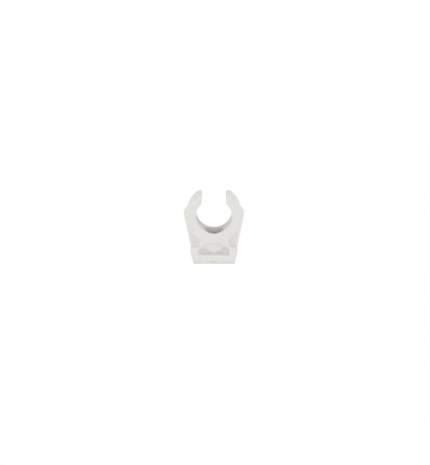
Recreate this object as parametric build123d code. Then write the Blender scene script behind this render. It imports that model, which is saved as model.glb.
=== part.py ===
from build123d import *
import os
from math import cos, radians, sin, sqrt, tan

# Snap-in pipe clip, moulded in one piece. X runs across the clip, Y along the pipe and Z up from
# the base. All sizes are in millimetres and all angles in degrees.

# Ring and fingers
pipe_diameter = 20.0  # bore of the ring
ring_wall = 5.0
ring_drop = 0.75  # outer circle below the bore's axis, so the wall thins towards the fingers
clip_depth = 12.3
mouth_width = 12.9  # between the finger tips
mouth_lean = 5.0  # of each finger's inner wall, towards the other finger
finger_tip_width = 2.1

# Base, and the neck that joins it to the ring
base_width = 26.0
foot_width = 23.0
shoulder_height = 9.4
base_side_height = 2.8  # upright part of the base's sides, above their taper
neck_width = 15.6
neck_height = 2.35  # shoulder to the lowest point of the ring

# Web at mid-depth, which stands out beyond the ring as two flanks
web_thickness = 3.6
web_clearance = 1.0  # kept from the bore and the mouth, inside the ring's wall
flank_proud = 2.0  # corner of the flank beyond the ring
flank_rise = 1.5  # corner of the flank above the bore's axis
flank_top_angle = 36.0  # around the ring from the level of its centre
flank_foot_inset = 0.2
flank_bevel = 0.9  # along the flank's front and back edges

# Pocket in the front and in the back of the base
plate_thickness = 4.7
pocket_width = 17.6
pocket_depth = 3.2
strut_wall = 1.33  # between the pocket's slanted corner and the notch under the ring
pocket_draft = 8.0

# Screw hole, the well above it for the screw's head and the funnel-shaped boss around both
screw_hole_diameter = 5.0
screw_head_diameter = 8.8  # of the well, at the seat
head_seat_angle = 90.0
seat_rise = 0.8  # foot of the seat above the base plate
well_flare = 4.0  # of the well's wall, which opens towards the bore
boss_wall = 0.85  # around the seat
boss_inset = 1.0  # boss behind the clip's front, where it is cut flat

# Bevel along the foot, and the locating nick in its middle
bevel_height = 2.15
bevel_depth = 0.75
nick_width = 2.2
nick_height = 1.6

# Rounded corners and edges
tip_round = 0.7
lip_round = 1.5
neck_round = 1.5
base_round = 0.8
flank_round = 3.0
pocket_round = 1.2
pocket_rim_round = 0.95
edge_break = 0.3  # small bevel all round the front and the back

# Places that follow from these
pipe_radius = pipe_diameter / 2
ring_radius = pipe_radius + ring_wall
ring_bottom = shoulder_height + neck_height
ring_centre = ring_bottom + ring_radius
pipe_axis = ring_centre + ring_drop
tip_reach = mouth_width / 2 + finger_tip_width
tip_height = ring_centre + sqrt(ring_radius**2 - tip_reach**2)
taper_top = shoulder_height - base_side_height
front = -clip_depth / 2
hole_radius = screw_hole_diameter / 2
head_radius = screw_head_diameter / 2
seat_slope = radians(head_seat_angle / 2)
seat_foot = plate_thickness + seat_rise
seat_top = seat_foot + (head_radius - hole_radius) / tan(seat_slope)


def both_sides(half):
    """Close a right-hand outline with its mirror image on the left."""
    return Polygon(*half, *[(-x, z) for x, z in reversed(half)], align=None)


def corners(sketch, places):
    """The sketch's corners nearest to these places and to their mirror images."""
    mirrored = [(-x, z) for x, z in places]
    return [min(sketch.vertices(), key=lambda v: (v.X - x) ** 2 + (v.Y - z) ** 2)
            for x, z in places + mirrored]


def mouth_wall(height):
    """Distance of the mouth's leaning wall from the middle, at this height."""
    return mouth_width / 2 + (tip_height - height) * tan(radians(mouth_lean))


def lip_corner():
    """Where the bore meets the wall of the mouth."""
    lean = radians(mouth_lean)
    wall_distance = mouth_wall(pipe_axis) * cos(lean)
    along_wall = sqrt(pipe_radius**2 - wall_distance**2)
    x = wall_distance * cos(lean) - along_wall * sin(lean)
    return x, pipe_axis + wall_distance * sin(lean) + along_wall * cos(lean)


def rim_profile():
    """Ring, neck and base as seen along the pipe."""
    half_neck = neck_width / 2
    neck_top = ring_centre - sqrt(ring_radius**2 - half_neck**2)
    above = tip_height + ring_wall
    foot = [(foot_width / 2, 0), (base_width / 2, taper_top), (base_width / 2, shoulder_height)]
    ring = Pos(0, ring_centre) * Circle(ring_radius)
    neck = both_sides([(half_neck, taper_top), (half_neck, ring_centre)])
    bore = Pos(0, pipe_axis) * Circle(pipe_radius)
    mouth = both_sides([(mouth_wall(pipe_axis), pipe_axis), (mouth_wall(above), above)])
    trim = both_sides([(ring_radius, tip_height), (ring_radius, above)])
    profile = ring + neck + both_sides(foot) - bore - mouth - trim
    profile = fillet(corners(profile, [lip_corner()]), lip_round)
    tips = [(mouth_width / 2, tip_height), (tip_reach, tip_height)]
    profile = fillet(corners(profile, tips), tip_round)
    notch = [(half_neck, neck_top), (half_neck, shoulder_height)]
    profile = fillet(corners(profile, notch), neck_round)
    return fillet(corners(profile, foot), base_round)


def end_faces(body):
    """The front face and the back face."""
    flat = body.faces().filter_by(Axis.Y).sort_by(Axis.Y)
    return flat[0], flat[-1]


def rim():
    """Ring, neck and base at full depth, with broken edges."""
    body = extrude(Plane.XZ * rim_profile(), clip_depth / 2, both=True)
    edges = [edge for face in end_faces(body) for edge in face.outer_wire().edges()]
    return chamfer(edges, edge_break)


def web():
    """Plate at mid-depth between the ring's arms, the neck and the shoulders."""
    turn = radians(flank_top_angle)
    top_radius = ring_radius - web_clearance
    top = (top_radius * cos(turn), ring_centre + top_radius * sin(turn))
    corner = (ring_radius + flank_proud, pipe_axis + flank_rise)
    foot = (base_width / 2 - flank_foot_inset, taper_top + web_clearance)
    outline = both_sides([foot, corner, top])
    outline = fillet(corners(outline, [corner]), flank_round)
    hollow = Pos(0, pipe_axis) * Circle(pipe_radius + web_clearance)
    gap_x = mouth_wall(pipe_axis) + web_clearance
    gap = both_sides([(gap_x, pipe_axis), (gap_x, tip_height)])
    plate = extrude(Plane.XZ * (outline - hollow - gap), web_thickness / 2, both=True)
    edges = [edge for face in end_faces(plate) for edge in face.outer_wire().edges()]
    flanks = [edge for edge in edges if abs(edge.center().X) > top[0]]
    return chamfer(flanks, flank_bevel)


def turned(half):
    """Solid of revolution around the screw's axis, from an outline that starts and ends on it."""
    return revolve(Plane.XZ * Polygon(*half, align=None), Axis.Z)


def boss():
    """Funnel around the screw's seat, widening from the base plate up to the ring, flat at the front."""
    foot_radius = hole_radius + boss_wall / cos(seat_slope) - seat_rise * tan(seat_slope)
    height = ring_bottom - plate_thickness
    funnel = turned([(0, plate_thickness), (foot_radius, plate_thickness),
                     (foot_radius + height * tan(seat_slope), ring_bottom), (0, ring_bottom)])
    return funnel & Box(2 * base_width, clip_depth - 2 * boss_inset, 2 * ring_bottom)


def pocket():
    """Hollow of the front pocket, around the boss, narrowing a little with depth."""
    half = pocket_width / 2
    notch_middle = (neck_width / 2 + neck_round) + (shoulder_height + neck_round)
    slant = notch_middle - sqrt(2) * (neck_round + strut_wall)
    side_top = slant - half
    outline = both_sides([(half, plate_thickness), (half, side_top), (slant - ring_bottom, ring_bottom)])
    outline = fillet(outline.vertices(), pocket_round)
    inward = Plane(origin=(0, front, 0), x_dir=(-1, 0, 0), z_dir=(0, 1, 0))
    hollow = extrude(inward * outline, pocket_depth, taper=pocket_draft)
    return hollow - boss()


def screw_way():
    """Screw hole, its conical seat and the well that opens in the floor of the bore."""
    well_top = head_radius + (pipe_axis - seat_top) * tan(radians(well_flare))
    return turned([(0, 0), (hole_radius, 0), (hole_radius, seat_foot), (head_radius, seat_top),
                   (well_top, pipe_axis), (0, pipe_axis)])


def foot_trim():
    """Bevel along the front of the foot, with the locating nick in its middle."""
    section = Polygon((front, 0), (front + bevel_depth, 0), (front, bevel_height), align=None)
    bevel = extrude(Plane.YZ * section, base_width / 2, both=True)
    nick = Pos(0, front, nick_height / 2) * Cylinder(nick_width / 2, nick_height)
    return bevel + nick


def front_and_back(form):
    """A form at the front with its mirror image at the back."""
    return form + mirror(form, Plane.XZ)


clip = rim() + web()
clip = clip - front_and_back(pocket())
pocket_rims = [edge for face in end_faces(clip) for wire in face.inner_wires() for edge in wire.edges()]
clip = fillet(pocket_rims, pocket_rim_round)
clip = clip - screw_way() - front_and_back(foot_trim())

os.makedirs("parts", exist_ok=True)
export_step(clip, "parts/pipe_clip.step")
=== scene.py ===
import math

import bmesh
import bpy
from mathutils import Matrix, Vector


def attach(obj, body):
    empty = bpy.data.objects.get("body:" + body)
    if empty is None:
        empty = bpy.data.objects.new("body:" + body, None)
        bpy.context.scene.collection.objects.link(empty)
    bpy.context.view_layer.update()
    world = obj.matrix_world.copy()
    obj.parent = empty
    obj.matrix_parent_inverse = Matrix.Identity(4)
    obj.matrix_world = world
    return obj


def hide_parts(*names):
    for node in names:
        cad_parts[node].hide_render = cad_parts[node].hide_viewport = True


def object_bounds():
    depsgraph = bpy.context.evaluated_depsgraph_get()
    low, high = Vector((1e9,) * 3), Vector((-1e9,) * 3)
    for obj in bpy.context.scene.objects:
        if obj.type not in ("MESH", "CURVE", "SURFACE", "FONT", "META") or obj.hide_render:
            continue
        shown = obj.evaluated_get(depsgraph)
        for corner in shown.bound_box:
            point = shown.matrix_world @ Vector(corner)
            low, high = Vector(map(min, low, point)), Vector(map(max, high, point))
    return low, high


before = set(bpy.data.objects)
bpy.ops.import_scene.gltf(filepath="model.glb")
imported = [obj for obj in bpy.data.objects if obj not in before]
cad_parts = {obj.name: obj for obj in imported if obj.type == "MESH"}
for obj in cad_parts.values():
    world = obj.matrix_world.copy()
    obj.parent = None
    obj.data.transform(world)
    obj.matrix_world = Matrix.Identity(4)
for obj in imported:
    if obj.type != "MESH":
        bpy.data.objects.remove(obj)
cad_low, cad_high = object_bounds()
scene = bpy.context.scene

# Moulded body: ring, spring fingers, web, base and screw boss, one injection moulding of off-white
# plastic. The mould's edges are polished soft, so every outer edge and inner corner comes out a little
# round, and each flat runs smoothly into the next.

mm = 0.001
seam_gap = 0.002 * mm
skin_step = 0.23 * mm
soften_rounds = 8
soften_share = 0.5
clip_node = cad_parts["pipe_clip"]


def joined_copy(node, name):
    """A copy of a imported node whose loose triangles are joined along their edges."""
    form = bmesh.new()
    form.from_mesh(node.data)
    bmesh.ops.remove_doubles(form, verts=form.verts, dist=seam_gap)
    mesh = bpy.data.meshes.new(name)
    form.to_mesh(mesh)
    form.free()
    return mesh


def softened(mesh, name):
    """The same form with an even skin, its edges and inner corners rounded off."""
    rough = bpy.data.objects.new(name, mesh)
    scene.collection.objects.link(rough)
    skin = rough.modifiers.new("even skin", "REMESH")
    skin.mode = "VOXEL"
    skin.voxel_size = skin_step
    skin.use_smooth_shade = True
    soften = rough.modifiers.new("soft edges", "SMOOTH")
    soften.factor = soften_share
    soften.iterations = soften_rounds
    evaluated = rough.evaluated_get(bpy.context.evaluated_depsgraph_get())
    smooth = bpy.data.meshes.new_from_object(evaluated)
    bpy.data.objects.remove(rough)
    smooth.name = name
    return smooth


clip_mesh = softened(joined_copy(clip_node, "clip_form"), "clip_body")
clip = bpy.data.objects.new("clip_body", clip_mesh)
scene.collection.objects.link(clip)

plastic_dark = (0.775, 0.764, 0.744, 1.0)
plastic_light = (0.805, 0.796, 0.780, 1.0)
colour_clouds = {"Scale": 160.0, "Detail": 3.0, "Roughness": 0.55}
sheen_patches = {"Scale": 700.0, "Detail": 2.0, "Roughness": 0.5}
sheen_range = {"From Min": 0.3, "From Max": 0.7, "To Min": 0.50, "To Max": 0.60}
mould_grain = {"Scale": 3200.0, "Detail": 2.0, "Roughness": 0.6}
grain_depth = 0.02 * mm
grain_strength = 0.12
plastic_refraction = 1.49
plastic_chalkiness = 0.6


def new_material(name):
    """An empty node material, with its tree."""
    material = bpy.data.materials.new(name)
    material.use_nodes = True
    material.node_tree.nodes.clear()
    return material, material.node_tree


def add_node(tree, kind, settings=None, inputs=None):
    """A node with these settings and input values. A value that is a socket is linked."""
    node = tree.nodes.new(kind)
    for setting, value in (settings or {}).items():
        setattr(node, setting, value)
    for socket, value in (inputs or {}).items():
        if isinstance(value, bpy.types.NodeSocket):
            tree.links.new(value, node.inputs[socket])
        else:
            node.inputs[socket].default_value = value
    return node


def mottled(tree, place, pattern):
    """A soft random pattern over the surface, from 0 to 1."""
    return add_node(tree, "ShaderNodeTexNoise", inputs={"Vector": place, **pattern}).outputs["Fac"]


def clip_plastic():
    """Off-white satin plastic: cloudy colour, uneven sheen and the fine grain of the mould's walls."""
    material, tree = new_material("clip_plastic")
    place = add_node(tree, "ShaderNodeTexCoord").outputs["Object"]
    colour = add_node(tree, "ShaderNodeMix", {"data_type": "RGBA"}, {
        "Factor": mottled(tree, place, colour_clouds), "A": plastic_dark, "B": plastic_light})
    sheen = add_node(tree, "ShaderNodeMapRange", inputs={
        "Value": mottled(tree, place, sheen_patches), **sheen_range})
    grain = add_node(tree, "ShaderNodeBump", inputs={
        "Height": mottled(tree, place, mould_grain), "Distance": grain_depth, "Strength": grain_strength})
    shader = add_node(tree, "ShaderNodeBsdfPrincipled", inputs={
        "Base Color": colour.outputs["Result"], "Roughness": sheen.outputs["Result"],
        "Normal": grain.outputs["Normal"],
        "IOR": plastic_refraction, "Diffuse Roughness": plastic_chalkiness})
    add_node(tree, "ShaderNodeOutputMaterial", inputs={"Surface": shader.outputs["BSDF"]})
    return material


clip_mesh.materials.append(clip_plastic())
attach(clip, "root")
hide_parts("pipe_clip")

# Floor: a wide sheet of white card under the clip. Away from the foot it glows almost plain white and
# keeps a faint trace of the clip's real shadow; far off it is plain white. Close round the foot and under
# it the glow is cut, so the bare card shows with its real shading. This is painted shade: a darker band
# round the foot, darkest under the foot and down the screw hole.

floor_reach = 4.0
foot_level = 0.05 * mm
# Width of the painted shade band round the foot, where the glow is cut.
foot_shade_width = 0.8 * mm
shadow_start = 0.06
shadow_end = 0.22
white_share = 0.985
card_white = (0.9, 0.9, 0.9, 1.0)
plain_white = (1.0, 1.0, 1.0, 1.0)


def footprint(node):
    """Half the width and half the depth of the face on which a node stands."""
    foot = [vertex.co for vertex in node.data.vertices if vertex.co.z < cad_low.z + foot_level]
    return max(abs(place.x) for place in foot), max(abs(place.y) for place in foot)


def reckon(tree, operation, *values):
    """One step of arithmetic on sockets and numbers."""
    return add_node(tree, "ShaderNodeMath", {"operation": operation}, dict(enumerate(values))).outputs[0]


def seen_directly(tree):
    """1 for what is seen by eye or as a reflection, and 0 for light that falls on other things."""
    path = add_node(tree, "ShaderNodeLightPath").outputs
    return reckon(tree, "MAXIMUM", path["Is Camera Ray"], path["Is Glossy Ray"])


def rising(tree, distance, start, end, top):
    """0 up to the start, then a smooth rise that reaches the top at the end."""
    return add_node(tree, "ShaderNodeMapRange", {"interpolation_type": "SMOOTHSTEP"}, {
        "Value": distance, "From Min": start, "From Max": end, "To Min": 0.0, "To Max": top,
    }).outputs["Result"]


def white_card():
    """Matt white card that glows plain white away from the clip's foot; round the foot the glow is cut,
    which paints a darker band of bare card there.
    """
    material, tree = new_material("white_card")
    half_width, half_depth = footprint(clip_node)
    from_middle = add_node(tree, "ShaderNodeTexCoord").outputs["Object"]
    place = add_node(tree, "ShaderNodeSeparateXYZ", inputs={"Vector": from_middle}).outputs
    beside = reckon(tree, "SUBTRACT", reckon(tree, "ABSOLUTE", place["X"]), half_width)
    before = reckon(tree, "SUBTRACT", reckon(tree, "ABSOLUTE", place["Y"]), half_depth)
    away = reckon(tree, "MAXIMUM", beside, before)
    # Painted shade: the glow falls to nothing at the edge of the foot, so a thin darker band of bare card
    # rings the foot.
    foot_shade_glow = rising(tree, away, 0.0, foot_shade_width, white_share)
    far = rising(tree, away, shadow_start, shadow_end, 1.0 - white_share)
    whiteness = reckon(tree, "MULTIPLY", reckon(tree, "ADD", foot_shade_glow, far), seen_directly(tree))
    card = add_node(tree, "ShaderNodeBsdfDiffuse", inputs={"Color": card_white})
    glow = add_node(tree, "ShaderNodeEmission", inputs={"Color": plain_white, "Strength": 1.0})
    mixed = add_node(tree, "ShaderNodeMixShader", inputs={
        0: whiteness, 1: card.outputs["BSDF"], 2: glow.outputs["Emission"]})
    add_node(tree, "ShaderNodeOutputMaterial", inputs={"Surface": mixed.outputs["Shader"]})
    return material


floor_form = bmesh.new()
bmesh.ops.create_grid(floor_form, x_segments=1, y_segments=1, size=floor_reach)
floor_mesh = bpy.data.meshes.new("floor")
floor_form.to_mesh(floor_mesh)
floor_form.free()
floor_mesh.materials.append(white_card())
floor = bpy.data.objects.new("floor", floor_mesh)
floor.location.z = cad_low.z
scene.collection.objects.link(floor)

# Studio light: white surroundings at half strength, a soft box high at each side, a lower one in front
# and a small, weak one low behind the clip.

surround_strength = 0.49
clip_middle = Vector((0.0, 0.0, 0.02))
large_box = 0.5
small_box = 0.26

world = bpy.data.worlds.new("studio")
scene.world = world
world.use_nodes = True
studio = world.node_tree
studio.nodes.clear()
strength = add_node(studio, "ShaderNodeMapRange", inputs={
    "Value": seen_directly(studio), "To Min": surround_strength, "To Max": 1.0})
surround = add_node(studio, "ShaderNodeBackground", inputs={
    "Color": plain_white, "Strength": strength.outputs["Result"]})
add_node(studio, "ShaderNodeOutputWorld", inputs={"Surface": surround.outputs["Background"]})


def soft_box(name, place, size, power, glare=True):
    """A square lamp aimed at the clip. Without glare it fills shade and puts no shine on edges."""
    lamp = bpy.data.lights.new(name, "AREA")
    lamp.shape = "SQUARE"
    lamp.size = size
    lamp.energy = power
    box = bpy.data.objects.new(name, lamp)
    box.location = place
    box.rotation_euler = (clip_middle - Vector(place)).to_track_quat("-Z", "Y").to_euler()
    box.visible_glossy = glare
    scene.collection.objects.link(box)


soft_box("left_box", place=(-0.85, -0.15, 0.52), size=large_box, power=2.8)
soft_box("right_box", place=(0.85, -0.15, 0.52), size=large_box, power=2.85)
soft_box("front_box", place=(0.0, -0.97, 0.28), size=large_box, power=3.0)
soft_box("back_box", place=(0.0, 0.99, 0.16), size=small_box, power=1.5, glare=False)

# Camera: a long lens that looks down on the clip at the photograph's angle. Its distance and its aim
# give the clip the photograph's size and place in the picture.

photo_height_px = 465
px_per_mm = 1.81
camera_elevation = math.radians(20.0)
camera_lens = 200.0
camera_aim = Vector((0.55, 0.0, 16.2)) * mm

camera_data = bpy.data.cameras.new("camera")
camera_data.lens = camera_lens
camera_distance = photo_height_px / px_per_mm * mm * camera_lens / camera_data.sensor_width
camera_back = Vector((0.0, -math.cos(camera_elevation), math.sin(camera_elevation)))
camera = bpy.data.objects.new("camera", camera_data)
camera.location = camera_aim + camera_back * camera_distance
camera.rotation_euler = (-camera_back).to_track_quat("-Z", "Y").to_euler()
scene.collection.objects.link(camera)
scene.camera = camera
scene.view_settings.view_transform = "Standard"
